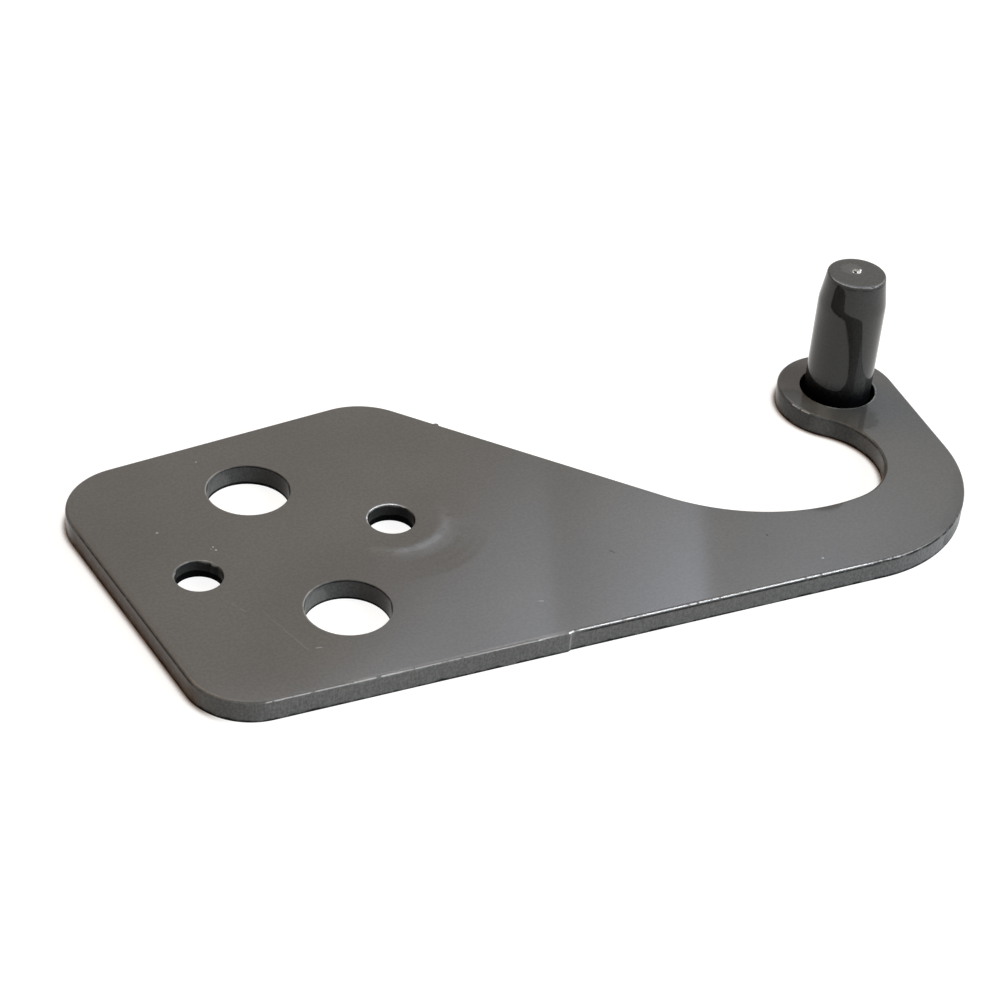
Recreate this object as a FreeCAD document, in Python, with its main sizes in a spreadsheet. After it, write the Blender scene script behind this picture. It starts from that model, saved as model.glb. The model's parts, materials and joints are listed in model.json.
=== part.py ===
"""Refrigerator door hinge: a blanked steel plate with a hook and an upright door pin.

Frame: millimetres, +Z up along the pin, +X from the fixing flange to the pin.
Origin: the centre of the four-hole fixing pattern, on the underside of the plate.
"""
import FreeCAD, Part
import math
import os

import Sketcher
from FreeCAD import Vector

# Driving dimensions, in millimetres and degrees
SIZES = [
    ("plate_thickness", 3.0, "sheet thickness"),
    ("flange_left", 23.4, "pattern centre to the left edge"),
    ("flange_back", 25.5, "pattern centre to the back edge"),
    ("front_offset", 26.95, "pattern centre to the front edge, square to it"),
    ("front_slope", 7.0, "fall of the front edge towards the hook"),
    ("arm_offset", 33.55, "pattern centre to the back edge of the arm, square to it"),
    ("arm_slope", 55.0, "fall of the back edge of the arm towards the hook"),
    ("nose_lean", 11.2, "lean of the outer edge of the hook away from square"),
    ("corner_left_back", 9.2, "outline radius"),
    ("corner_left_front", 8.4, "outline radius"),
    ("corner_arm_back", 9.2, "outline radius where the back edge turns into the arm"),
    ("corner_hook", 21.2, "outline radius at the outer corner of the hook"),
    ("throat_sweep_radius", 26.6, "wide arc from the arm into the throat"),
    ("throat_end_radius", 10.0, "tight arc at the closed end of the throat"),
    ("throat_drop", 12.3, "from the pin axis to the centre of the tight arc, along Y"),
    ("eye_radius", 8.4, "round end of the hook, which carries the pin"),
    ("pin_reach", 85.2, "pattern centre to the pin axis"),
    ("screw_hole_dia", 10.8, "the two wide fixing holes"),
    ("screw_hole_pitch", 27.0, "between the wide fixing holes"),
    ("small_hole_dia", 6.1, "the two small fixing holes"),
    ("small_hole_pitch", 27.2, "between the small fixing holes"),
    ("pin_hole_dia", 10.5, "hole in the eye, wider than the pin"),
    ("rolled_edge_radius", 0.4, "upper edges, rolled over by the blanking punch"),
    ("pin_dia", 9.3, "working diameter of the pin"),
    ("pin_height", 18.6, "pin above the upper face of the plate"),
    ("lead_height", 4.3, "length of the tapered lead-in"),
    ("pin_top_dia", 8.0, "small end of the lead-in"),
    ("lead_blend_radius", 9.0, "blend between the working diameter and the lead-in"),
    ("pin_edge_radius", 0.25, "broken edge round the top face"),
    ("foot_height", 1.2, "pressed foot that fills the lower part of the hole"),
    ("centre_mark_dia", 1.3, "turning centre left in the top face"),
    ("centre_mark_depth", 0.45, "turning centre left in the top face"),
]

ORIGIN = (-1, 1)
X_AXIS = -1
START, END, CENTRE = 1, 2, 3

doc = FreeCAD.newDocument("DoorHinge")
sheet = doc.addObject("Spreadsheet::Sheet", "Sizes")
for row, (alias, value, note) in enumerate(SIZES, start=1):
    sheet.set("A%d" % row, alias)
    sheet.set("B%d" % row, str(value))
    sheet.set("C%d" % row, note)
    sheet.setAlias("B%d" % row, alias)
doc.recompute()


def size(alias):
    """Read one driving dimension back from the sheet."""
    return float(getattr(sheet, alias))


# Helpers for bodies, sketches and edges

def new_body(name):
    """Add an empty body whose label is also the name of its file."""
    body = doc.addObject("PartDesign::Body", name)
    body.Label = name
    return body


def new_sketch(body, name, role):
    """Add a sketch on one of the body's own origin planes."""
    sketch = body.newObject("Sketcher::SketchObject", name)
    plane = [item for item in body.Origin.OriginFeatures if item.Role == role][0]
    sketch.AttachmentSupport = [(plane, "")]
    sketch.MapMode = "FlatFace"
    return sketch


def dimension(sketch, name, kind, parts, expression):
    """Add a named dimension to a sketch and tie it to the sheet."""
    value = float(sketch.evalExpression(expression))
    if kind == "Angle":
        value = math.radians(value)
    index = sketch.addConstraint(Sketcher.Constraint(kind, *parts, value))
    sketch.renameConstraint(index, name)
    sketch.setExpression("Constraints." + name, expression)


def add_circle(sketch, x, y, diameter):
    """Add a circle at its starting place and return its index."""
    circle = Part.Circle(Vector(x, y, 0), Vector(0, 0, 1), diameter / 2)
    return sketch.addGeometry(circle, False)


def cut_holes(body, sketch, name):
    """Cut a sketch of circles right through the plate and make sure that it cut."""
    before = body.Shape.Volume
    pocket = body.newObject("PartDesign::Pocket", name)
    pocket.Profile = sketch
    pocket.Type = "ThroughAll"
    pocket.Reversed = True
    doc.recompute()
    if not body.Shape.Volume < before:
        raise RuntimeError(name + " cut nothing")


def edges_at(shape, height):
    """Names of the edges that lie all over at one height."""
    names = []
    for number, edge in enumerate(shape.Edges, start=1):
        box = edge.BoundBox
        if abs(box.ZMin - height) < 1e-6 and abs(box.ZMax - height) < 1e-6:
            names.append("Edge%d" % number)
    return names


def edges_round(shape, height, radius):
    """Names of the circular edges of one radius at one height."""
    names = []
    for number, edge in enumerate(shape.Edges, start=1):
        level = all(abs(vertex.Z - height) < 1e-6 for vertex in edge.Vertexes)
        if level and hasattr(edge.Curve, "Radius") and abs(edge.Curve.Radius - radius) < 1e-6:
            names.append("Edge%d" % number)
    return names


# Geometry of the sketches

def heading(degrees):
    """Unit vector in a sketch at an angle from its +X axis."""
    angle = math.radians(degrees)
    return Vector(math.cos(angle), math.sin(angle), 0)


def left_of(direction):
    """Unit vector a quarter turn to the left of a direction."""
    return Vector(-direction.y, direction.x, 0)


def crossing(point_a, along_a, point_b, along_b):
    """Point where two lines meet."""
    across = (point_b - point_a).cross(along_b).z
    return point_a + along_a * (across / along_a.cross(along_b).z)


def corner_arc(point_a, along_a, point_b, along_b, radius):
    """Centre, first and last point of the arc that rounds the corner of two lines."""
    inner_a = point_a + left_of(along_a) * radius
    inner_b = point_b + left_of(along_b) * radius
    centre = crossing(inner_a, along_a, inner_b, along_b)
    return centre, centre - left_of(along_a) * radius, centre - left_of(along_b) * radius


def add_arc(sketch, centre, first, last):
    """Add an arc that runs anticlockwise from its first point to its last."""
    start = math.atan2(first.y - centre.y, first.x - centre.x)
    stop = math.atan2(last.y - centre.y, last.x - centre.x)
    if stop < start:
        stop += 2 * math.pi
    circle = Part.Circle(centre, Vector(0, 0, 1), (first - centre).Length)
    return sketch.addGeometry(Part.ArcOfCircle(circle, start, stop), False)


def add_line(sketch, first, last):
    """Add a straight edge."""
    return sketch.addGeometry(Part.LineSegment(first, last), False)


def draw_outline(sketch):
    """Draw the outline anticlockwise: flange, front edge, hook, eye, throat, arm, back edge."""
    down, left = heading(-90), heading(180)
    front = heading(-size("front_slope"))
    nose = heading(90 - size("nose_lean"))
    arm = heading(180 - size("arm_slope"))
    on_left = Vector(-size("flange_left"), 0, 0)
    on_back = Vector(0, size("flange_back"), 0)
    on_front = left_of(front) * -size("front_offset")
    on_arm = left_of(arm) * -size("arm_offset")
    eye = Vector(size("pin_reach"), 0, 0)
    eye_radius, end_radius = size("eye_radius"), size("throat_end_radius")
    on_nose = eye - left_of(nose) * eye_radius

    left_front = corner_arc(on_left, down, on_front, front, size("corner_left_front"))
    hook = corner_arc(on_front, front, on_nose, nose, size("corner_hook"))
    arm_back = corner_arc(on_arm, arm, on_back, left, size("corner_arm_back"))
    left_back = corner_arc(on_back, left, on_left, down, size("corner_left_back"))

    # The tight arc of the throat touches the eye; the wide arc touches it and the arm
    drop = size("throat_drop")
    reach = eye_radius + end_radius
    end_centre = eye - Vector(math.sqrt(reach ** 2 - drop ** 2), drop, 0)
    sweep_radius = size("throat_sweep_radius")
    on_sweep = on_arm - left_of(arm) * sweep_radius
    from_end = on_sweep - end_centre
    along = from_end.dot(arm)
    square = from_end.dot(left_of(arm))
    slide = math.sqrt((sweep_radius - end_radius) ** 2 - square ** 2)
    sweep_centre = on_sweep + arm * (slide - along)
    eye_to_end = eye + (end_centre - eye) * (eye_radius / reach)
    end_to_sweep = sweep_centre + (end_centre - sweep_centre).normalize() * sweep_radius
    sweep_to_arm = sweep_centre + left_of(arm) * sweep_radius

    left_edge = add_line(sketch, left_back[2], left_front[1])
    left_front_arc = add_arc(sketch, *left_front)
    front_edge = add_line(sketch, left_front[2], hook[1])
    hook_arc = add_arc(sketch, *hook)
    nose_edge = add_line(sketch, hook[2], on_nose)
    eye_arc = add_arc(sketch, eye, on_nose, eye_to_end)
    throat_end_arc = add_arc(sketch, end_centre, end_to_sweep, eye_to_end)
    throat_sweep_arc = add_arc(sketch, sweep_centre, sweep_to_arm, end_to_sweep)
    arm_edge = add_line(sketch, sweep_to_arm, arm_back[1])
    arm_back_arc = add_arc(sketch, *arm_back)
    back_edge = add_line(sketch, arm_back[2], left_back[1])
    left_back_arc = add_arc(sketch, *left_back)

    # Every joint of the outline is smooth; the two throat arcs turn the other way
    joints = [
        (left_edge, END, left_front_arc, START),
        (left_front_arc, END, front_edge, START),
        (front_edge, END, hook_arc, START),
        (hook_arc, END, nose_edge, START),
        (nose_edge, END, eye_arc, START),
        (eye_arc, END, throat_end_arc, END),
        (throat_end_arc, START, throat_sweep_arc, END),
        (throat_sweep_arc, START, arm_edge, START),
        (arm_edge, END, arm_back_arc, START),
        (arm_back_arc, END, back_edge, START),
        (back_edge, END, left_back_arc, START),
        (left_back_arc, END, left_edge, START),
    ]
    for joint in joints:
        sketch.addConstraint(Sketcher.Constraint("Tangent", *joint))
    sketch.addConstraint(Sketcher.Constraint("Vertical", left_edge))
    sketch.addConstraint(Sketcher.Constraint("Horizontal", back_edge))
    sketch.addConstraint(Sketcher.Constraint("PointOnObject", eye_arc, CENTRE, X_AXIS))

    dimension(sketch, "Left", "DistanceX", (left_edge, START, *ORIGIN), "Sizes.flange_left")
    dimension(sketch, "Back", "DistanceY", (*ORIGIN, back_edge, START), "Sizes.flange_back")
    dimension(sketch, "Front", "Distance", (*ORIGIN, front_edge), "Sizes.front_offset")
    dimension(sketch, "FrontSlope", "Angle", (front_edge,), "-Sizes.front_slope")
    dimension(sketch, "Arm", "Distance", (*ORIGIN, arm_edge), "Sizes.arm_offset")
    dimension(sketch, "ArmSlope", "Angle", (arm_edge,), "180 - Sizes.arm_slope")
    dimension(sketch, "NoseLean", "Angle", (nose_edge,), "90 - Sizes.nose_lean")
    dimension(sketch, "PinReach", "DistanceX", (*ORIGIN, eye_arc, CENTRE), "Sizes.pin_reach")
    dimension(sketch, "Drop", "DistanceY", (throat_end_arc, CENTRE, *ORIGIN), "Sizes.throat_drop")
    radii = [
        (left_front_arc, "corner_left_front"),
        (hook_arc, "corner_hook"),
        (eye_arc, "eye_radius"),
        (throat_end_arc, "throat_end_radius"),
        (throat_sweep_arc, "throat_sweep_radius"),
        (arm_back_arc, "corner_arm_back"),
        (left_back_arc, "corner_left_back"),
    ]
    for arc, alias in radii:
        dimension(sketch, alias, "Radius", (arc,), "Sizes." + alias)


# Plate

plate = new_body("hinge_plate")
outline = new_sketch(plate, "PlateOutline", "XY_Plane")
draw_outline(outline)
blank = plate.newObject("PartDesign::Pad", "Blank")
blank.Profile = outline
blank.setExpression("Length", "Sizes.plate_thickness")
doc.recompute()

# Two wide holes lie across the flange and two small ones along it, centred on the origin
for name, alias, across in (("ScrewHoles", "screw_hole", True), ("SmallHoles", "small_hole", False)):
    circles = new_sketch(plate, name + "Sketch", "XY_Plane")
    dia, half = size(alias + "_dia"), size(alias + "_pitch") / 2
    step = Vector(0, half, 0) if across else Vector(half, 0, 0)
    first = add_circle(circles, step.x, step.y, dia)
    second = add_circle(circles, -step.x, -step.y, dia)
    circles.addConstraint(Sketcher.Constraint("Symmetric", first, CENTRE, second, CENTRE, *ORIGIN))
    circles.addConstraint(Sketcher.Constraint("Equal", first, second))
    kind, axis = ("DistanceY", -2) if across else ("DistanceX", -1)
    circles.addConstraint(Sketcher.Constraint("PointOnObject", first, CENTRE, axis))
    dimension(circles, "Pitch", kind, (second, CENTRE, first, CENTRE), "Sizes.%s_pitch" % alias)
    dimension(circles, "Width", "Diameter", (first,), "Sizes.%s_dia" % alias)
    doc.recompute()
    cut_holes(plate, circles, name)

seat = new_sketch(plate, "PinHoleSketch", "XY_Plane")
ring = add_circle(seat, size("pin_reach"), 0, size("pin_hole_dia"))
seat.addConstraint(Sketcher.Constraint("PointOnObject", ring, CENTRE, X_AXIS))
dimension(seat, "Reach", "DistanceX", (*ORIGIN, ring, CENTRE), "Sizes.pin_reach")
dimension(seat, "Width", "Diameter", (ring,), "Sizes.pin_hole_dia")
doc.recompute()
cut_holes(plate, seat, "PinHole")

rolled = plate.newObject("PartDesign::Fillet", "RolledEdges")
rolled.Base = (plate.getObject("PinHole"), edges_at(plate.Shape, size("plate_thickness")))
rolled.setExpression("Radius", "Sizes.rolled_edge_radius")
doc.recompute()

# Pin

pin = new_body("hinge_pin")
half_section = new_sketch(pin, "PinHalfSection", "XZ_Plane")
foot_radius, pin_radius = size("pin_hole_dia") / 2, size("pin_dia") / 2
top_radius = size("pin_top_dia") / 2
foot_top = size("foot_height")
top = size("plate_thickness") + size("pin_height")
lead_foot = top - size("lead_height")
taper = math.atan2(pin_radius - top_radius, size("lead_height"))
blend_radius = size("lead_blend_radius")
blend_reach = blend_radius * math.tan(taper / 2)
mark_edge = Vector(size("centre_mark_dia") / 2, top, 0)
mark_floor = Vector(0, top - size("centre_mark_depth"), 0)

# The shank and the tapered lead-in meet in an arc that touches both
shank_top = Vector(pin_radius, lead_foot - blend_reach, 0)
lead_start = Vector(pin_radius, lead_foot, 0) + heading(90 + math.degrees(taper)) * blend_reach
blend_centre = shank_top - Vector(blend_radius, 0, 0)

base = add_line(half_section, Vector(0, 0, 0), Vector(foot_radius, 0, 0))
foot_side = add_line(half_section, Vector(foot_radius, 0, 0), Vector(foot_radius, foot_top, 0))
foot_face = add_line(half_section, Vector(foot_radius, foot_top, 0), Vector(pin_radius, foot_top, 0))
shank = add_line(half_section, Vector(pin_radius, foot_top, 0), shank_top)
blend = add_arc(half_section, blend_centre, shank_top, lead_start)
lead = add_line(half_section, lead_start, Vector(top_radius, top, 0))
top_face = add_line(half_section, Vector(top_radius, top, 0), mark_edge)
mark_side = add_line(half_section, mark_edge, mark_floor)
axis_side = add_line(half_section, mark_floor, Vector(0, 0, 0))

sharp_corners = [
    (base, foot_side), (foot_side, foot_face), (foot_face, shank), (lead, top_face),
    (top_face, mark_side), (mark_side, axis_side), (axis_side, base),
]
for side, following in sharp_corners:
    half_section.addConstraint(Sketcher.Constraint("Coincident", side, END, following, START))
half_section.addConstraint(Sketcher.Constraint("Coincident", base, START, *ORIGIN))
for joint in ((shank, END, blend, START), (blend, END, lead, START)):
    half_section.addConstraint(Sketcher.Constraint("Tangent", *joint))
for side in (base, foot_face, top_face):
    half_section.addConstraint(Sketcher.Constraint("Horizontal", side))
for side in (foot_side, shank, axis_side):
    half_section.addConstraint(Sketcher.Constraint("Vertical", side))

TOP = "Sizes.plate_thickness + Sizes.pin_height"
TAPER = "90 + atan((Sizes.pin_dia - Sizes.pin_top_dia) / (2 * Sizes.lead_height)) / 1 deg"
section_sizes = [
    ("FootRadius", "DistanceX", (*ORIGIN, foot_side, START), "Sizes.pin_hole_dia / 2"),
    ("FootHeight", "DistanceY", (*ORIGIN, foot_face, START), "Sizes.foot_height"),
    ("ShankRadius", "DistanceX", (*ORIGIN, shank, START), "Sizes.pin_dia / 2"),
    ("BlendRadius", "Radius", (blend,), "Sizes.lead_blend_radius"),
    ("Taper", "Angle", (lead,), TAPER),
    ("Top", "DistanceY", (*ORIGIN, lead, END), TOP),
    ("TopRadius", "DistanceX", (*ORIGIN, lead, END), "Sizes.pin_top_dia / 2"),
    ("MarkRadius", "DistanceX", (*ORIGIN, mark_side, START), "Sizes.centre_mark_dia / 2"),
    ("MarkDepth", "DistanceY", (mark_side, END, mark_side, START), "Sizes.centre_mark_depth"),
]
for section_size in section_sizes:
    dimension(half_section, *section_size)
doc.recompute()

turned = pin.newObject("PartDesign::Revolution", "TurnedPin")
turned.Profile = half_section
turned.ReferenceAxis = (half_section, ["V_Axis"])
turned.Angle = 360
doc.recompute()

rim = pin.newObject("PartDesign::Fillet", "TopRim")
rim.Base = (turned, edges_round(pin.Shape, top, top_radius))
rim.setExpression("Radius", "Sizes.pin_edge_radius")
pin.setExpression("Placement.Base.x", "Sizes.pin_reach")
doc.recompute()

# Checks and files

for item in doc.Objects:
    if "Invalid" in item.State or "Error" in item.State:
        raise RuntimeError("%s failed: %s" % (item.Label, item.State))
    if item.TypeId == "Sketcher::SketchObject" and not item.FullyConstrained:
        raise RuntimeError(item.Label + " isn't fully constrained")

os.makedirs("parts", exist_ok=True)
for body in (plate, pin):
    shape = body.Shape
    if shape.isNull() or not shape.isValid() or len(shape.Solids) != 1:
        raise RuntimeError(body.Label + " isn't one valid solid")
    shape.exportStep("parts/%s.step" % body.Label)
    print(body.Label, "volume %.1f mm3" % shape.Volume, shape.BoundBox)
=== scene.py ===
"""Looks of the refrigerator door hinge: a blanked plate, its upright pin, their gloss paint and a studio.

The sizes in the classes are millimetres, as on a drawing. The meshes are metres, in the row frame: +Z up
along the pin, +X from the fixing flange to the pin, origin on the underside of the plate.
"""

import json
import logging
import math
from collections.abc import Callable
from dataclasses import dataclass, field
from enum import Enum

import bmesh
import bpy
from mathutils import Matrix, Vector


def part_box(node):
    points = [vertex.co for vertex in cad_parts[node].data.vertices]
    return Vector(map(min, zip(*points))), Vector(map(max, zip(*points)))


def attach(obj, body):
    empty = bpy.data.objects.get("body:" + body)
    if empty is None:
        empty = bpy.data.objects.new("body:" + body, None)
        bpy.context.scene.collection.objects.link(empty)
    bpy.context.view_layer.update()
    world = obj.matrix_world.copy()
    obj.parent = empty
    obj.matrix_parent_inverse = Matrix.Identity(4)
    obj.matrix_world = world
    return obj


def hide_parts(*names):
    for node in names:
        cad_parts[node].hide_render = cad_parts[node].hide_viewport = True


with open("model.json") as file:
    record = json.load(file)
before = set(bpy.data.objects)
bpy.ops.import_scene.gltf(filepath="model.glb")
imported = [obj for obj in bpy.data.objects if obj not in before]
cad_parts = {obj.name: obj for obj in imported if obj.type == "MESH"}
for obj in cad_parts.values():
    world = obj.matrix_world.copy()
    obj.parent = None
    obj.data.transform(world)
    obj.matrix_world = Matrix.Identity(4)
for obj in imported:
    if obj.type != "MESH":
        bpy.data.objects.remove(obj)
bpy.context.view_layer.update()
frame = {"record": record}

LOG = logging.getLogger("hinge")
MM = 0.001
UP = Vector((0.0, 0.0, 1.0))
SAME_POINT = 0.002 * MM
SAME_PLACE = 0.001
FLAT_NORMAL = 0.999
FLAT_ANGLE = 0.5
WHITE = (1.0, 1.0, 1.0, 1.0)
ORIGIN = (0.0, 0.0, 0.0)
LEVEL = (1.0, 1.0, 0.0)

Point = tuple[float, float, float]
Colour = tuple[float, float, float, float]
Socket = bpy.types.NodeSocket
Group = bpy.types.NodeTree


class Turn(Enum):
    """Which way an arc runs, seen from above."""

    LEFT = 1
    RIGHT = -1


class Rays(Enum):
    """Outputs of the Light Path node that see the plain white ground."""

    CAMERA = "Is Camera Ray"
    GLOSSY = "Is Glossy Ray"
    TRANSMISSION = "Is Transmission Ray"


# Plane geometry of the outline


def heading(degrees: float) -> Vector:
    """Return the level unit vector at an angle from +X."""
    angle = math.radians(degrees)
    return Vector((math.cos(angle), math.sin(angle), 0.0))


def left_of(direction: Vector) -> Vector:
    """Return the level unit vector a quarter turn to the left of a direction."""
    return Vector((-direction.y, direction.x, 0.0))


def metres(point: Point) -> Point:
    """Return a point given in millimetres in metres."""
    return point[0] * MM, point[1] * MM, point[2] * MM


@dataclass(frozen=True)
class Line:
    """A straight stretch of the outline, from where the last stretch ended."""

    last: Vector


@dataclass(frozen=True)
class Arc:
    """A round stretch of the outline."""

    centre: Vector
    first: Vector
    last: Vector
    turn: Turn = Turn.LEFT

    @property
    def radius(self) -> float:
        """Radius in millimetres."""
        return (self.first - self.centre).length

    @property
    def sweep(self) -> float:
        """Angle that the arc covers, in radians, always positive."""
        start, stop = self.first - self.centre, self.last - self.centre
        return math.atan2(start.cross(stop).z, start.dot(stop)) * self.turn.value % (2 * math.pi)

    def inside(self, degrees: float, inset: float, height: float) -> Point:
        """Return the point at an angle, a distance inside the edge and a height."""
        point = self.centre + heading(degrees) * (self.radius - inset)
        return point.x, point.y, height


def corner(point_a: Vector, along_a: Vector, point_b: Vector, along_b: Vector, radius: float) -> Arc:
    """Round the corner of two lines.

    Args:
        point_a: A point of the line that comes in.
        along_a: Its direction.
        point_b: A point of the line that goes out.
        along_b: Its direction.
        radius: Radius of the corner.

    Returns:
        The arc that touches both lines.
    """
    inner_a = point_a + left_of(along_a) * radius
    inner_b = point_b + left_of(along_b) * radius
    across = (inner_b - inner_a).cross(along_b).z
    centre = inner_a + along_a * (across / along_a.cross(along_b).z)
    return Arc(centre, centre - left_of(along_a) * radius, centre - left_of(along_b) * radius)


# Modelling helpers, each one a few operators as used by hand


def choose(piece: bpy.types.Object, kind: str, test: Callable[..., bool]) -> None:
    """Select the vertices, edges or faces of the piece in edit mode that pass a test, and nothing else.

    Args:
        piece: The object in edit mode.
        kind: VERT, EDGE or FACE.
        test: Takes one element and says whether it is wanted.
    """
    bpy.ops.mesh.select_mode(type=kind)
    bpy.ops.mesh.select_all(action="DESELECT")
    mesh = bmesh.from_edit_mesh(piece.data)
    for element in {"VERT": mesh.verts, "EDGE": mesh.edges, "FACE": mesh.faces}[kind]:
        if test(element):
            element.select_set(True)
    mesh.select_flush_mode()
    bmesh.update_edit_mesh(piece.data)


def start_wire(name: str, first: Vector) -> bpy.types.Object:
    """Start a wire that the extrude and spin operators then grow.

    Args:
        name: Name of the new object.
        first: Where the wire starts, in millimetres.

    Returns:
        The object, in edit mode, with its one vertex selected.
    """
    bpy.ops.object.select_all(action="DESELECT")
    bpy.ops.mesh.primitive_plane_add(size=MM, location=first * MM)
    piece = bpy.context.object
    piece.name = piece.data.name = name
    bpy.ops.object.transform_apply(location=True)
    bpy.ops.object.mode_set(mode="EDIT")
    bpy.ops.mesh.select_mode(type="VERT")
    bpy.ops.mesh.merge(type="CENTER")
    return piece


def move_copy(step: Vector) -> None:
    """Extrude what is selected by a step in millimetres."""
    bpy.ops.mesh.extrude_region_move(TRANSFORM_OT_translate={"value": step * MM})


def pull(step: Vector, reach: float) -> None:
    """Move what is selected by a step, and what lies within a reach of it less and less, in millimetres."""
    bpy.ops.transform.translate(value=step * MM, use_proportional_edit=True,
                                proportional_edit_falloff="SMOOTH", proportional_size=reach * MM)


def draw_line(first: Vector, last: Vector, longest: float) -> None:
    """Grow the wire along a straight line.

    Args:
        first: Where the wire ends now.
        last: Where it goes to.
        longest: No edge is longer than this.
    """
    count = max(1, math.ceil((last - first).length / longest))
    for _ in range(count):
        move_copy((last - first) / count)


def draw_arc(arc: Arc, longest: float) -> None:
    """Grow the wire along an arc with the spin operator, which turns clockwise round its axis.

    Args:
        arc: The arc, which starts where the wire ends now.
        longest: No edge is longer than this.
    """
    steps = max(3, math.ceil(arc.sweep * arc.radius / longest))
    bpy.ops.mesh.spin(steps=steps, angle=-arc.sweep * arc.turn.value, center=arc.centre * MM, axis=UP)


def merge_doubles() -> None:
    """Weld the points of the open mesh that lie on each other."""
    bpy.ops.mesh.select_all(action="SELECT")
    bpy.ops.mesh.remove_doubles(threshold=SAME_POINT)


def face_outwards() -> None:
    """Turn every face of the open mesh outwards."""
    bpy.ops.mesh.select_all(action="SELECT")
    bpy.ops.mesh.normals_make_consistent(inside=False)


def finish_piece(piece: bpy.types.Object, material: bpy.types.Material, smooth_under: float,
                 node: str) -> None:
    """Leave edit mode, dress the piece, smooth its shading and hand it to the frame.

    Args:
        piece: The object in edit mode.
        material: Its finish.
        smooth_under: Faces that meet at less than this angle in degrees are shaded as one.
        node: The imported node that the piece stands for, in the same form and place.
    """
    piece.data.materials.append(material)
    bpy.ops.object.mode_set(mode="OBJECT")
    bpy.ops.object.shade_smooth_by_angle(angle=math.radians(smooth_under))
    bpy.ops.object.modifier_add(type="WEIGHTED_NORMAL")
    piece.modifiers[-1].keep_sharp = True
    piece.modifiers[-1].weight = 100
    bpy.ops.object.modifier_apply(modifier=piece.modifiers[-1].name)
    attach(piece, "root")
    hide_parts(node)


# Shader nodes, and the effects that both paints share


@dataclass(frozen=True)
class Grain:
    """A noise: its cells in a metre, its layers, and the two values between which a mask of it rises."""

    scale: float
    detail: float = 2.0
    low: float = 0.0
    high: float = 1.0


FINE_PEEL = Grain(2200.0)
SLOW_PEEL = Grain(130.0, 1.0)
STREAKS = Grain(2400.0, 3.0)
PITS = Grain(1700.0, 4.0)
LATHE_RINGS = Grain(2400.0, 3.0)
SPOT_BORDER = Grain(2500.0)
BORE_BORDER = Grain(500.0, 3.0)
# Noises that break up lines of wear, and lines of painted highlight and painted shade
STROKE_BREAKS = Grain(1100.0, 3.0, 0.32, 0.45)
RIM_BREAKS = Grain(700.0, 3.0, 0.36, 0.52)
CLOUDS = Grain(45.0, 3.0, 0.3, 0.7)
FLECKS = Grain(2600.0, 2.0, 0.35, 0.65)
SMUDGES = Grain(160.0, 4.0, 0.35, 0.75)
NOISE_MIDDLE = 0.5
DRAWN_UP = (1.0, 1.0, 0.35)
SOFT_ENDS = 24.0
SOLID_SHARE = 0.7
RIM_AWAY, RIM_FACING = 0.1, 0.7
BORE_EDGE = 0.15 * MM
COLOUR_A, COLOUR_B, COLOUR_RESULT = 6, 7, 2


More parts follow.
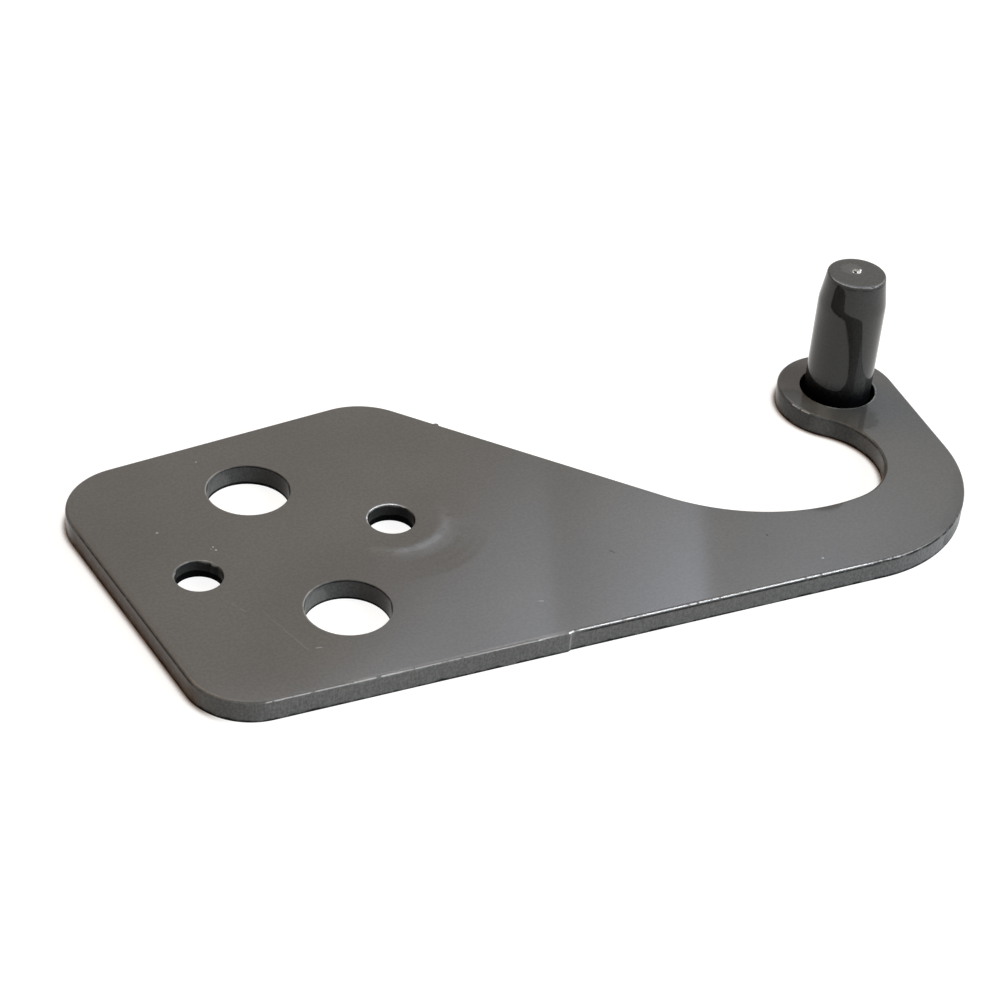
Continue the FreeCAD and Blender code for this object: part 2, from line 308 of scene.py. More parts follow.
@dataclass
class NodeSheet:
    """Adds nodes to one tree and joins them up. An input takes a plain value or the socket that feeds it."""

    tree: bpy.types.NodeTree

    def add(self, kind: str, inputs: dict | None = None, **settings: object) -> bpy.types.Node:
        """Add a node.

        Args:
            kind: The node's type name.
            inputs: Socket names or numbers, each with what it takes.
            **settings: Properties of the node.

        Returns:
            The new node.
        """
        node = self.tree.nodes.new(kind)
        for name, value in settings.items():
            setattr(node, name, value)
        for name, value in (inputs or {}).items():
            if isinstance(value, Socket):
                self.tree.links.new(value, node.inputs[name])
            else:
                node.inputs[name].default_value = value
        return node

    def out(self, kind: str, inputs: dict, **settings: object) -> Socket:
        """Add a node and return its first output."""
        return self.add(kind, inputs, **settings).outputs[0]

    def math(self, operation: str, *values: object, clamp: bool = False) -> Socket:
        """Return what a Math node makes of one or two values."""
        return self.out("ShaderNodeMath", dict(enumerate(values)), operation=operation, use_clamp=clamp)

    def joined(self, operation: str, first: object, others: tuple) -> Socket:
        """Join some values with one operation, from left to right.

        Args:
            operation: The Math node's operation.
            first: The first value.
            others: The others.

        Returns:
            The result.
        """
        for value in others:
            first = self.math(operation, first, value)
        return first

    def times(self, first: object, *others: object) -> Socket:
        """Return the product of some values."""
        return self.joined("MULTIPLY", first, others)

    def plus(self, first: object, *others: object) -> Socket:
        """Return the sum of some values."""
        return self.joined("ADD", first, others)

    def most(self, first: object, *others: object) -> Socket:
        """Return the largest of some values."""
        return self.joined("MAXIMUM", first, others)

    def minus(self, first: object, second: object) -> Socket:
        """Return the difference of two values."""
        return self.math("SUBTRACT", first, second)

    def rest(self, value: object) -> Socket:
        """Return what a value lacks to 1."""
        return self.minus(1.0, value)

    def ramp(self, value: object, low: float, high: float) -> Socket:
        """Return a smooth step of a value, from 0 at low to 1 at high."""
        inputs = {"Value": value, "From Min": low, "From Max": high}
        return self.out("ShaderNodeMapRange", inputs, interpolation_type="SMOOTHSTEP")

    def noise(self, position: object, grain: Grain) -> Socket:
        """Return a noise value of about 0.3 to 0.7 at a position."""
        inputs = {"Vector": position, "Scale": grain.scale, "Detail": grain.detail}
        return self.out("ShaderNodeTexNoise", inputs)

    def patches(self, position: object, grain: Grain) -> Socket:
        """Return the mask of a noise, smoothly stepped between its two values."""
        return self.ramp(self.noise(position, grain), grain.low, grain.high)

    def blend(self, factor: object, first: object, second: object) -> Socket:
        """Return a colour between two, by a factor."""
        inputs = {0: factor, COLOUR_A: first, COLOUR_B: second}
        return self.add("ShaderNodeMix", inputs, data_type="RGBA").outputs[COLOUR_RESULT]

    def vector(self, operation: str, first: object, second: object) -> Socket:
        """Return the vector that a Vector Math node makes of two others."""
        return self.add("ShaderNodeVectorMath", {0: first, 1: second}, operation=operation).outputs["Vector"]

    def measure(self, operation: str, first: object, second: object = ORIGIN) -> Socket:
        """Return the number that a Vector Math node makes of one or two vectors."""
        return self.add("ShaderNodeVectorMath", {0: first, 1: second}, operation=operation).outputs["Value"]

    def part(self, position: object, axis: str) -> Socket:
        """Return the part of a position along X, Y or Z."""
        return self.add("ShaderNodeSeparateXYZ", {0: position}).outputs[axis]

    def shaded(self, colour: object, mask: object, shade: object) -> Socket:
        """Return a colour that is multiplied by a shade where a mask is 1."""
        return self.vector("MULTIPLY", colour, self.blend(mask, WHITE, shade))

    def fading(self, gap: object, width: object) -> Socket:
        """Return a mask that falls from 1 at no gap to 0 at a width."""
        return self.math("SUBTRACT", 1.0, self.math("DIVIDE", gap, width), clamp=True)

    def group(self, tree: Group, **inputs: object) -> Socket:
        """Place a node group, feed it and return its output."""
        return self.out("ShaderNodeGroup", inputs, node_tree=tree)


def clear_sheet(owner: bpy.types.Material | bpy.types.World | bpy.types.Light) -> NodeSheet:
    """Empty the nodes of a material, a world or a lamp.

    Args:
        owner: What has the nodes.

    Returns:
        The sheet to add new ones to.
    """
    owner.use_nodes = True
    owner.node_tree.nodes.clear()
    return NodeSheet(owner.node_tree)


class Effect(NodeSheet):
    """A shared effect: a node group with named inputs and one output."""

    def __init__(self, name: str, vectors: str, numbers: str = "", output: str = "Mask") -> None:
        """Start the group.

        Args:
            name: The group's name.
            vectors: Names of the inputs that are places or directions.
            numbers: Names of the inputs that are numbers.
            output: Name of the output.
        """
        super().__init__(bpy.data.node_groups.new(name, "ShaderNodeTree"))
        for names, kind in ((vectors, "NodeSocketVector"), (numbers, "NodeSocketFloat")):
            for socket in names.split():
                self.tree.interface.new_socket(socket, in_out="INPUT", socket_type=kind)
        self.tree.interface.new_socket(output, in_out="OUTPUT", socket_type="NodeSocketFloat")
        self.given = self.add("NodeGroupInput")

    def __getitem__(self, name: str) -> Socket:
        """Return what an input of the group is given."""
        return self.given.outputs[name]

    def finish(self, value: Socket) -> Group:
        """Put out a value and return the finished group."""
        self.add("NodeGroupOutput", {0: value})
        return self.tree

    def ragged(self, grain: Grain) -> Socket:
        """Return the group's Ragged input, spread to both sides of 0 by a noise."""
        return self.times(self.minus(self.noise(self["Position"], grain), NOISE_MIDDLE), self["Ragged"])

    def unbroken(self, wear: Grain) -> Socket:
        """Return a mask with gaps from a noise, which the group's Whole input fills; the gaps break wear
        lines and painted highlight and shade lines alike.
        """
        return self.most(self.patches(self["Position"], wear), self["Whole"])

    def from_centre(self) -> tuple[Socket, Socket, Socket]:
        """Measure where the group's Position lies from its Centre.

        Returns:
            The level offset, its length and the height over the centre.
        """
        away = self.vector("SUBTRACT", self["Position"], self["Centre"])
        level = self.vector("MULTIPLY", away, LEVEL)
        return level, self.measure("LENGTH", level), self.part(away, "Z")


def orange_peel() -> Group:
    """Build the height of sprayed gloss paint: a fine dimple over a slow ripple.

    Returns:
        The effect.
    """
    peel = Effect("orange_peel", "Position", "Fine Slow", "Height")
    fine = peel.times(peel.noise(peel["Position"], FINE_PEEL), peel["Fine"])
    slow = peel.times(peel.noise(peel["Position"], SLOW_PEEL), peel["Slow"])
    return peel.finish(peel.plus(fine, slow))


def sheared_wall() -> Group:
    """Build the height of a sheared wall: upright streaks with pits between them.

    Returns:
        The effect.
    """
    wall = Effect("sheared_wall", "Position", output="Height")
    streaks = wall.noise(wall.vector("MULTIPLY", wall["Position"], DRAWN_UP), STREAKS)
    return wall.finish(wall.plus(streaks, wall.noise(wall["Position"], PITS)))


def paint_specks() -> Group:
    """Build the mask of sparse specks, such as dust caught in the paint.

    Returns:
        The effect.
    """
    specks = Effect("paint_specks", "Position", "Scale Radius Share")
    inputs = {"Vector": specks["Position"], "Scale": specks["Scale"]}
    cells = specks.add("ShaderNodeTexVoronoi", inputs).outputs
    near = specks.math("LESS_THAN", cells["Distance"], specks["Radius"])
    pick = specks.out("ShaderNodeSeparateColor", {0: cells["Color"]})
    return specks.finish(specks.times(near, specks.math("LESS_THAN", pick, specks["Share"])))


def stroke() -> Group:
    """Build the mask of one short straight stroke, soft across and at its ends.

    Returns:
        The effect.
    """
    line = Effect("stroke", "Position First Last", "Width Whole")
    run = line.vector("SUBTRACT", line["Last"], line["First"])
    reach = line.vector("SUBTRACT", line["Position"], line["First"])
    along = line.measure("DOT_PRODUCT", reach, run)
    share = line.math("DIVIDE", along, line.measure("DOT_PRODUCT", run, run), clamp=True)
    foot = line.out("ShaderNodeVectorMath", {0: run, "Scale": share}, operation="SCALE")
    core = line.fading(line.measure("DISTANCE", reach, foot), line["Width"])
    ends = line.math("MULTIPLY", line.times(share, line.rest(share)), SOFT_ENDS, clamp=True)
    return line.finish(line.times(core, ends, line.unbroken(STROKE_BREAKS)))


def spot() -> Group:
    """Build the mask of one round spot with a soft and ragged border.

    Returns:
        The effect.
    """
    disc = Effect("spot", "Position Centre", "Radius Ragged")
    gap = disc.measure("DISTANCE", disc["Position"], disc["Centre"])
    share = disc.plus(disc.math("DIVIDE", gap, disc["Radius"]), disc.ragged(SPOT_BORDER))
    return disc.finish(disc.ramp(share, 1.0, SOLID_SHARE))


def rim_line() -> Group:
    """Build the mask of a thin broken line round a rim, on the side that faces one way.

    Returns:
        The effect.
    """
    rim = Effect("rim_line", "Position Centre Side", "Radius Width Whole")
    level, reach, high = rim.from_centre()
    off = rim.minus(reach, rim["Radius"])
    gap = rim.math("SQRT", rim.plus(rim.times(off, off), rim.times(high, high)))
    facing = rim.math("DIVIDE", rim.measure("DOT_PRODUCT", level, rim["Side"]), reach)
    facing = rim.ramp(facing, RIM_AWAY, RIM_FACING)
    return rim.finish(rim.times(rim.fading(gap, rim["Width"]), facing, rim.unbroken(RIM_BREAKS)))


def bore_wall() -> Group:
    """Build the mask of a hole's wall below a height, with the ragged border that punching leaves; the mask
    lays painted shade.

    Returns:
        The effect.
    """
    bore = Effect("bore_wall", "Position Centre", "Reach Height Ragged")
    _, reach, high = bore.from_centre()
    over = bore.minus(bore.plus(high, bore.ragged(BORE_BORDER)), bore["Height"])
    inside = bore.math("LESS_THAN", reach, bore["Reach"])
    return bore.finish(bore.times(inside, bore.ramp(over, BORE_EDGE, -BORE_EDGE)))


# The marks that wear and blanking leave, and painted highlights and painted shade, all in millimetres


@dataclass(frozen=True)
class Stroke:
    """A straight mark, for wear and bare steel and for painted highlights and painted shade. It is broken up
    by a noise, unless it is whole.
    """

    first: Point
    last: Point
    width: float
    strength: float
    whole: float = 0.0

    def inputs(self) -> tuple[str, dict]:
        """Return the effect's name and its inputs."""
        return "stroke", {"First": metres(self.first), "Last": metres(self.last),
                          "Width": self.width * MM, "Whole": self.whole}


@dataclass(frozen=True)
class Spot:
    """A round mark with a more or less ragged border. It serves for chips, specks and bare steel, and for
    painted glints and painted shadows.
    """

    centre: Point
    radius: float
    strength: float
    ragged: float = 0.6

    def inputs(self) -> tuple[str, dict]:
        """Return the effect's name and its inputs."""
        return "spot", {"Centre": metres(self.centre), "Radius": self.radius * MM, "Ragged": self.ragged}


@dataclass(frozen=True)
class Rim:
    """A thin line on the rim of a hole, an arc or the pin, on the side that faces a heading in degrees. It
    serves for worn and bare rims, and for painted highlights and painted shade.
    """

    centre: Point
    radius: float
    width: float
    heading: float
    strength: float
    whole: float = 0.0

    def inputs(self) -> tuple[str, dict]:
        """Return the effect's name and its inputs."""
        return "rim_line", {"Centre": metres(self.centre), "Radius": self.radius * MM,
                            "Width": self.width * MM, "Side": tuple(heading(self.heading)),
                            "Whole": self.whole}


@dataclass(frozen=True)
class Bore:
    """A zone of a hole's wall, or of the foot of the walls, below a height over its centre, laid with painted
    shade.
    """

    centre: Point
    reach: float
    height: float
    strength: float
    ragged: float = 1.0

    def inputs(self) -> tuple[str, dict]:
        """Return the effect's name and its inputs."""
        return "bore_wall", {"Centre": metres(self.centre), "Reach": self.reach * MM,
                             "Height": self.height * MM, "Ragged": self.ragged * MM}


Marks = tuple[Stroke | Spot | Rim | Bore, ...]
Effects = dict[str, Group]


# The paint


@dataclass(frozen=True)
class GlossPaint:
    """Grey gloss paint over steel, with its wear and specks, and with painted highlights and painted shade
    laid on as marks.
    """

    name: str
    top_height: float
    top_colour: Colour = (0.159, 0.152, 0.145, 1.0)
    top_fleck: Colour = (0.90, 0.90, 0.90, 1.0)
    wall_colour: Colour = (0.168, 0.171, 0.178, 1.0)
    wall_fleck: Colour = (0.74, 0.74, 0.74, 1.0)
    wall_from: float = 0.15
    wall_to: float = 0.05
    cloud_colour: Colour = (0.88, 0.88, 0.89, 1.0)
    # Pale colour of chips and scratches, and of the painted highlights
    wear_and_highlight_colour: Colour = (0.42, 0.42, 0.43, 1.0)
    bare_colour: Colour = (0.72, 0.72, 0.73, 1.0)
    # Near-black of a few specks and scratches, and of the painted shade
    dark_colour: Colour = (0.004, 0.004, 0.005, 1.0)
    # Painted warm shade and reflection on the left wall, which also takes the coat away
    warm_shade_colour: Colour = (0.135, 0.072, 0.030, 1.0)
    # Painted shade: darker and cooler paint towards the arm's end, between far_from and far_to along X
    far_shade_tone: Colour = WHITE
    far_from: float = 38.0
    far_to: float = 78.0
    speck_scale: float = 95.0
    speck_radius: float = 0.022
    speck_share: float = 0.10
    speck_strength: float = 0.4
    roughness: float = 0.45
    smudge_roughness: float = 0.08
    bare_polish: float = 0.2
    coat: float = 0.62
    coat_roughness: float = 0.06
    coat_ior: float = 1.45
    specular: float = 0.0
    dark_matt: float = 0.95
    warm_shade_matt: float = 0.6
    grain: float = 0.30
    ripple: float = 0.22
    wall_grain: float = 5.0
    turned: float = 0.0
    relief: float = 0.02
    light_marks: Marks = ()
    dark_marks: Marks = ()
    bare_marks: Marks = ()
    warm_shades: Marks = ()

    def mask(self, sheet: NodeSheet, effects: Effects, position: Socket, marks: Marks) -> Socket | float:
        """Build the joint mask of some marks.

        Args:
            sheet: The material's nodes.
            effects: The shared effects, by name.
            position: The place on the piece.
            marks: The marks.

        Returns:
            A value from 0 to 1.
        """
        total = 0.0
        for mark in marks:
            name, inputs = mark.inputs()
            one = sheet.group(effects[name], Position=position, **inputs)
            total = sheet.most(total, sheet.times(one, mark.strength))
        return total

    def height(self, sheet: NodeSheet, effects: Effects, position: Socket, wall: Socket) -> Socket:
        """Build the height of the surface.

        Args:
            sheet: The material's nodes.
            effects: The shared effects, by name.
            position: The place on the piece.
            wall: 1 on the walls, 0 on the upper face.

        Returns:
            The height, for a Bump node.
        """
        peel = sheet.group(effects["orange_peel"], Position=position, Fine=self.grain, Slow=self.ripple)
        sheared = sheet.group(effects["sheared_wall"], Position=position)
        height = sheet.plus(peel, sheet.times(sheared, wall, self.wall_grain))
        if self.turned:
            rings = sheet.noise(sheet.vector("MULTIPLY", position, tuple(UP)), LATHE_RINGS)
            height = sheet.plus(height, sheet.times(rings, self.turned))
        return height

    def build(self, effects: Effects) -> bpy.types.Material:
        """Build the material.

        Args:
            effects: The shared effects, by name.

        Returns:
            The material.
        """
        material = bpy.data.materials.new(self.name)
        sheet = clear_sheet(material)
        position = sheet.add("ShaderNodeTexCoord").outputs["Object"]
        light, dark, bare, warm_shade = (
            self.mask(sheet, effects, position, marks)
            for marks in (self.light_marks, self.dark_marks, self.bare_marks, self.warm_shades)
        )
        bare = sheet.times(bare, sheet.rest(dark))
        specks = sheet.group(effects["paint_specks"], Position=position, Scale=self.speck_scale,
                             Radius=self.speck_radius, Share=self.speck_share)
        light = sheet.most(light, sheet.times(specks, self.speck_strength))

        wall_from, wall_to = self.top_height - self.wall_from, self.top_height - self.wall_to
        upper = sheet.ramp(sheet.part(position, "Z"), wall_from * MM, wall_to * MM)
        # Painted shade along X, darker and cooler towards the arm's end
        far = sheet.ramp(sheet.part(position, "X"), self.far_from * MM, self.far_to * MM)
        fleck = sheet.blend(upper, self.wall_fleck, self.top_fleck)
        colour = sheet.blend(upper, self.wall_colour, self.top_colour)
        colour = sheet.shaded(colour, sheet.patches(position, CLOUDS), self.cloud_colour)
        colour = sheet.shaded(colour, far, self.far_shade_tone)
        colour = sheet.shaded(colour, sheet.patches(position, FLECKS), fleck)
        # The pale colour lays chips, scratches and painted highlights; the warm and near-black colours lay
        # painted shade, with a few dark specks and scratches.
        for mask, tone in ((warm_shade, self.warm_shade_colour), (light, self.wear_and_highlight_colour), (bare, self.bare_colour),
                           (dark, self.dark_colour)):
            colour = sheet.blend(mask, colour, tone)

        smudge = sheet.times(sheet.patches(position, SMUDGES), self.smudge_roughness)
        roughness = sheet.minus(sheet.plus(smudge, self.roughness), sheet.times(bare, self.bare_polish))
        matt = sheet.most(bare, sheet.times(dark, self.dark_matt), sheet.times(warm_shade, self.warm_shade_matt))
        height = self.height(sheet, effects, position, sheet.rest(upper))
        bump = sheet.out("ShaderNodeBump", {"Height": height, "Distance": self.relief * MM, "Strength": 1.0})
        shader = sheet.out("ShaderNodeBsdfPrincipled", {
            "Base Color": colour, "Metallic": bare, "Roughness": roughness, "Normal": bump,
            "Specular IOR Level": self.specular, "Coat Weight": sheet.times(sheet.rest(matt), self.coat),
            "Coat Roughness": self.coat_roughness, "Coat IOR": self.coat_ior,
        })
        sheet.add("ShaderNodeOutputMaterial", {"Surface": shader}, is_active_output=True)
        return material


# The plate


@dataclass
class HingePlate:
    """The blanked plate: fixing flange, tapering arm, hook and the eye that carries the pin."""

    thickness: float
    flange_left: float
    flange_back: float
    pin_reach: float
    screw_pitch: float
    screw_hole: float
    small_pitch: float
    small_hole: float
    front_offset: float = 26.95
    front_slope: float = 7.0
    arm_offset: float = 33.55
    arm_slope: float = 55.0
    nose_lean: float = 11.2
    corner_left_back: float = 9.2
    corner_left_front: float = 8.4
    corner_arm_back: float = 9.2
    corner_hook: float = 21.2
    sweep_radius: float = 26.6
    end_radius: float = 10.0
    throat_drop: float = 12.3
    eye_radius: float = 8.4
    pin_hole: float = 5.25
    rolled_edge: float = 0.4
    lower_edge: float = 0.08
    hole_edge: float = 0.12
    step_place: float = 25.3
    step_depth: float = 0.2
    step_run: float = 0.45
    nib_place: float = -3.7
    nib_width: float = 1.0
    nib_height: float = 0.38
    arc_edge: float = 0.55
    line_edge: float = 3.0
    apron_edge: float = 0.35
    apron_radius: float = 13.0
    dent_heading: float = -76.0
    dent_half_angles: tuple[float, ...] = (14.0, 30.0, 46.0)
    dent_section: tuple[tuple[float, float], ...] = (
        (4.57, 0.006), (5.97, 0.012), (7.37, -0.027), (8.77, -0.036), (10.17, -0.025), (11.57, -0.011),
    )
    dent_spread: float = 1.4
    breakout: float = 0.7
    breakout_height: float = 0.5
    burrs: tuple[tuple[float, float], ...] = ((26.0, 0.32), (48.0, 0.16), (62.0, 0.10), (141.0, 0.14))
    burr_reach: float = 0.28
    burr_spread: float = 0.5
    roll_steps: int = 6
    lower_steps: int = 2
    hole_points: int = 96
    smooth_under: float = 35.0
    piece: bpy.types.Object = field(init=False)

    def outline(self) -> tuple[Vector, list[Line | Arc]]:
        """Lay out the outline anticlockwise.

        Returns:
            The first point and the stretches that follow it, back to that point.
        """
        down, left = heading(-90), heading(180)
        front = heading(-self.front_slope)
        nose = heading(90 - self.nose_lean)
        arm = heading(180 - self.arm_slope)
        on_left = Vector((-self.flange_left, 0, 0))
        on_back = Vector((0, self.flange_back, 0))
        on_front = left_of(front) * -self.front_offset
        on_stepped_front = left_of(front) * (self.step_depth - self.front_offset)
        on_arm = left_of(arm) * -self.arm_offset
        eye = Vector((self.pin_reach, 0, 0))
        on_nose = eye - left_of(nose) * self.eye_radius

        left_front = corner(on_left, down, on_front, front, self.corner_left_front)
        hook = corner(on_stepped_front, front, on_nose, nose, self.corner_hook)
        arm_back = corner(on_arm, arm, on_back, left, self.corner_arm_back)
        left_back = corner(on_back, left, on_left, down, self.corner_left_back)

        # The tight arc of the throat touches the eye; the wide arc touches it and the arm
        reach = self.eye_radius + self.end_radius
        end_centre = eye - Vector((math.sqrt(reach**2 - self.throat_drop**2), self.throat_drop, 0))
        on_sweep = on_arm - left_of(arm) * self.sweep_radius
        from_end = on_sweep - end_centre
        square = from_end.dot(left_of(arm))
        slide = math.sqrt((self.sweep_radius - self.end_radius) ** 2 - square**2)
        sweep_centre = on_sweep + arm * (slide - from_end.dot(arm))
        eye_to_end = eye + (end_centre - eye) * (self.eye_radius / reach)
        end_to_sweep = sweep_centre + (end_centre - sweep_centre).normalized() * self.sweep_radius
        sweep_to_arm = sweep_centre + left_of(arm) * self.sweep_radius

        # A small nib stands on the arm's back edge, where the blank was held in the strip
        nib_radius = (self.nib_width**2 / 4 + self.nib_height**2) / (2 * self.nib_height)
        nib_foot = on_arm + arm * self.nib_place
        nib_half = arm * (self.nib_width / 2)
        nib_centre = nib_foot + left_of(arm) * (nib_radius - self.nib_height)

        # The blanking tool hit the front edge twice and left a small step there
        step_first = on_front + front * self.step_place
        step_last = on_stepped_front + front * (self.step_place + self.step_run)
        return left_back.last, [
            Line(left_front.first), left_front,
            Line(step_first), Line(step_last), Line(hook.first), hook,
            Line(on_nose), Arc(eye, on_nose, eye_to_end),
            Arc(end_centre, eye_to_end, end_to_sweep, Turn.RIGHT),
            Arc(sweep_centre, end_to_sweep, sweep_to_arm, Turn.RIGHT),
            Line(nib_foot - nib_half), Arc(nib_centre, nib_foot - nib_half, nib_foot + nib_half),
            Line(arm_back.first), arm_back,
            Line(left_back.first), left_back,
        ]

    def holes(self) -> list[tuple[Vector, float]]:
        """List the holes.

        Returns:
            The centre and radius of each: back and front wide hole, right and left small hole, pin's hole.
        """
        half_screw = Vector((0, self.screw_pitch / 2, 0))
        half_small = Vector((self.small_pitch / 2, 0, 0))
        return [
            (half_screw, self.screw_hole), (-half_screw, self.screw_hole),
            (half_small, self.small_hole), (-half_small, self.small_hole),
            (Vector((self.pin_reach, 0, 0)), self.pin_hole),
        ]

    def blank(self) -> None:
        """Draw the outline, fill it, extrude the sheet and roll its edges, then open both faces again."""
        here, stretches = self.outline()
        self.piece = start_wire("hinge_plate_painted", here)
        for stretch in stretches:
            if isinstance(stretch, Arc):
                draw_arc(stretch, self.arc_edge)
            else:
                draw_line(here, stretch.last, self.line_edge)
            here = stretch.last
        merge_doubles()
        bpy.ops.mesh.edge_face_add()
        move_copy(UP * self.thickness)
        face_outwards()
        for height, radius, steps in ((self.thickness, self.rolled_edge, self.roll_steps),
                                      (0.0, self.lower_edge, self.lower_steps)):
            choose(self.piece, "EDGE", lambda edge: self.lies_at(edge.verts, height))
            bpy.ops.mesh.bevel(offset=radius * MM, segments=steps, profile=0.5, clamp_overlap=False)
        choose(self.piece, "FACE", lambda face: abs(face.normal.z) > FLAT_NORMAL and len(face.verts) > 4)
        bpy.ops.mesh.delete(type="ONLY_FACE")

    def lies_at(self, verts: object, height: float) -> bool:
        """Say whether all of some vertices lie at a height in millimetres."""
        return all(abs(vert.co.z / MM - height) < SAME_PLACE for vert in verts)

    def hole_section(self, radius: float, apron: float) -> list[tuple[float, float]]:
        """Lay out a hole's wall downwards: rolled upper edge, straight wall and broken lower edge.

        Args:
            radius: The hole's radius.
            apron: Radius of a fine round mesh on the upper face, which comes first, or none.

        Returns:
            The radius and height of each ring of points.
        """
        top, roll, broken = self.thickness, self.hole_edge, self.lower_edge
        count = max(0, round((apron - radius - roll) / self.apron_edge))
        rings = [(radius + roll + self.apron_edge * number, top) for number in range(count, 0, -1)]
        for number in range(self.roll_steps + 1):
            angle = math.pi / 2 * number / self.roll_steps
            rings.append((radius + roll * (1 - math.sin(angle)), top - roll * (1 - math.cos(angle))))
        if radius == self.small_hole:
            rings.append((radius, self.breakout_height))
            radius += self.breakout
        for number in range(self.lower_steps + 1):
            angle = math.pi / 2 * number / self.lower_steps
            rings.append((radius + broken * (1 - math.cos(angle)), broken * (1 - math.sin(angle))))
        return rings

    def line_hole(self, centre: Vector, radius: float, apron: float = 0.0) -> None:
        """Draw a hole's wall downwards.

        Args:
            centre: The hole's centre.
            radius: The hole's radius.
            apron: Radius of a fine round mesh on the upper face, drawn first, or none.
        """
        (reach, height), *following = self.hole_section(radius, apron)
        bpy.ops.mesh.select_mode(type="EDGE")
        bpy.ops.mesh.select_all(action="DESELECT")
        place = (centre + UP * height) * MM
        bpy.ops.mesh.primitive_circle_add(vertices=self.hole_points, radius=reach * MM, location=place)
        for next_reach, next_height in following:
            move_copy(Vector((0, 0, next_height - height)))
            share = next_reach / reach
            bpy.ops.transform.resize(value=(share, share, 1.0), center_override=centre * MM)
            reach, height = next_reach, next_height

    def close_faces(self) -> None:
        """Close the upper and lower faces between the outline and the holes, and lay an even mesh on them."""
        for height in (self.thickness, 0.0):
            choose(self.piece, "EDGE", lambda edge: edge.is_boundary and self.lies_at(edge.verts, height))
            bpy.ops.mesh.fill(use_beauty=True)
        merge_doubles()
        for height in (self.thickness, 0.0):
            choose(self.piece, "FACE", lambda face: len(face.verts) == 3 and self.lies_at(face.verts, height))
            bpy.ops.mesh.dissolve_limited(angle_limit=math.radians(FLAT_ANGLE))
        face_outwards()

    def press_dent(self) -> None:
        """Press the crescent that a washer left beside the right small hole, steep on its inner side."""
        centre = Vector((self.small_pitch / 2, 0, 0))
        middle = heading(self.dent_heading)
        for radius, rise in self.dent_section:
            for half_angle in self.dent_half_angles:

                def in_crescent(vert: bmesh.types.BMVert) -> bool:
                    """Say whether a vertex lies on this arc of the crescent.

                    Args:
                        vert: A vertex of the plate.

                    Returns:
                        Whether it is moved.
                    """
                    away = vert.co / MM - centre
                    level = Vector((away.x, away.y, 0.0))
                    near = away.z > self.thickness / 2 and abs(level.length - radius) < self.apron_edge / 2
                    return near and level.angle(middle) < math.radians(half_angle)

                choose(self.piece, "VERT", in_crescent)
                pull(UP * (rise / len(self.dent_half_angles)), self.dent_spread)

    def ruffle_rim(self) -> None:
        """Push small burrs into the left small hole's upper rim, where the punch tore the edge."""
        centre = Vector((-self.small_pitch / 2, 0, self.thickness - self.hole_edge))
        for angle, depth in self.burrs:
            outwards = heading(angle)
            place = centre + outwards * self.small_hole
            choose(self.piece, "VERT", lambda vert: (vert.co / MM - place).length < self.burr_reach)
            pull(outwards * -depth, self.burr_spread)

    def build(self, material: bpy.types.Material) -> None:
        """Model the plate and dress it.

        Args:
            material: The plate's finish.
        """
        self.blank()
        for centre, radius in self.holes():
            beside_dent = radius == self.small_hole and centre.x > 0
            self.line_hole(centre, radius, self.apron_radius if beside_dent else 0.0)
        self.close_faces()
        self.press_dent()
        self.ruffle_rim()
        finish_piece(self.piece, material, self.smooth_under, "hinge_plate")


# The pin


